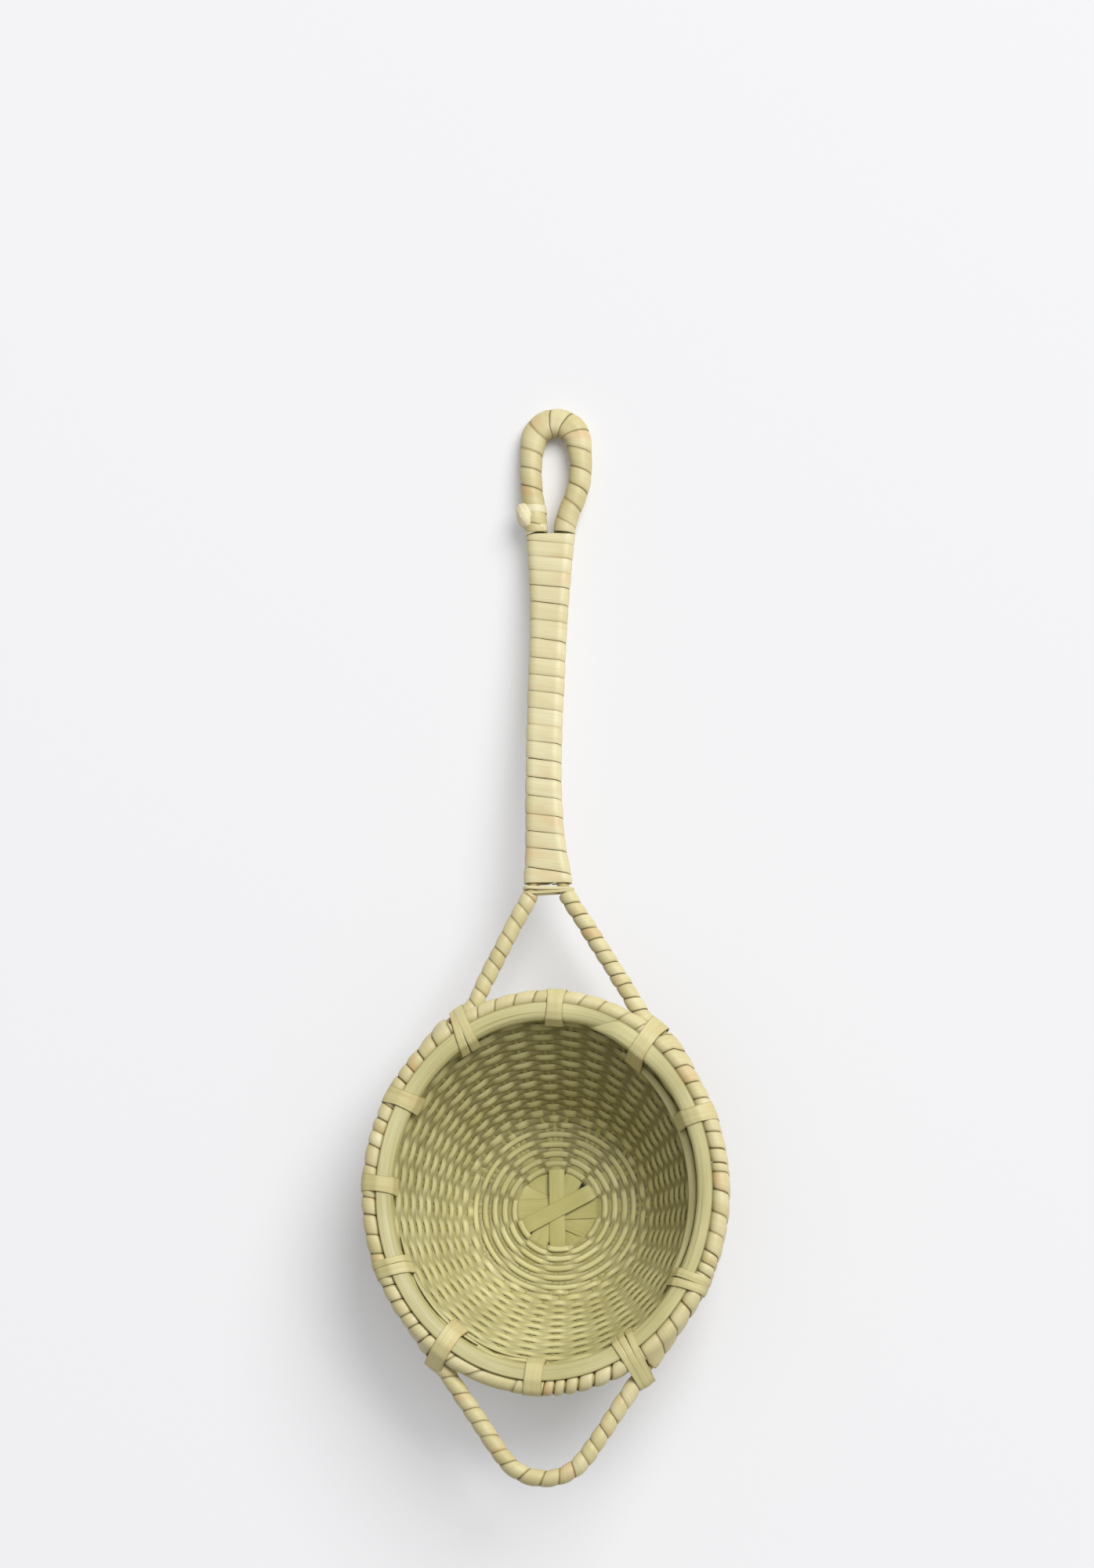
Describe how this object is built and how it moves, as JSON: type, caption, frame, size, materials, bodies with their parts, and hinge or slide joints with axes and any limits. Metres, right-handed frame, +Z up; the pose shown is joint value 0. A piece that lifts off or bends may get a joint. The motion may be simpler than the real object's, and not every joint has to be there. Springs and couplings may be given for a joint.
{
  "type": "tea strainer",
  "caption": "Hand-woven bamboo tea strainer: an oval bowl lashed in a bent rod frame with a wound handle and a hanging loop.",
  "frame": {"origin": "middle of the underside of the box around the whole strainer as it lies on a table", "axes": "+Y runs along the handle from the bowl to the hanging loop, +X to the right seen from above, +Z up"},
  "size_m": [0.0722, 0.2106, 0.0335],
  "materials": {
    "woven_bamboo": "satin",
    "bamboo_rod": "satin",
    "bamboo_strip": "satin"
  },
  "bodies": {
    "root": {"base_strip_1": "woven_bamboo", "base_strip_2": "woven_bamboo", "base_strip_3": "woven_bamboo", "base_strip_4": "woven_bamboo", "base_strip_5": "woven_bamboo", "base_strip_6": "woven_bamboo", "weaver_a_1": "woven_bamboo", "weaver_a_2": "woven_bamboo", "weaver_a_3": "woven_bamboo", "weaver_a_4": "woven_bamboo", "weaver_b_1": "woven_bamboo", "weaver_b_2": "woven_bamboo", "weaver_b_3": "woven_bamboo", "weaver_b_4": "woven_bamboo", "outer_hoop": "bamboo_rod", "frame_rod": "bamboo_rod", "loop_rod": "bamboo_rod", "inner_hoop": "bamboo_strip", "handle_wrap": "bamboo_strip", "loop_wrap": "bamboo_strip", "leg_wrap_left": "bamboo_strip", "leg_wrap_right": "bamboo_strip", "side_wrap_left": "bamboo_strip", "side_wrap_right": "bamboo_strip", "tip_wrap": "bamboo_strip", "hoop_wrap_top": "bamboo_strip", "hoop_wrap_right": "bamboo_strip", "hoop_wrap_left": "bamboo_strip", "rim_tie_1": "bamboo_strip", "rim_tie_2": "bamboo_strip", "rim_tie_3": "bamboo_strip", "rim_tie_4": "bamboo_strip", "rim_tie_5": "bamboo_strip", "rim_tie_6": "bamboo_strip", "rim_tie_7": "bamboo_strip", "rim_tie_8": "bamboo_strip", "rim_tie_9": "bamboo_strip", "rim_tie_10": "bamboo_strip", "rim_tie_11": "bamboo_strip", "neck_tie": "bamboo_strip", "loop_knot": "bamboo_strip"}
  },
  "joints": []
}
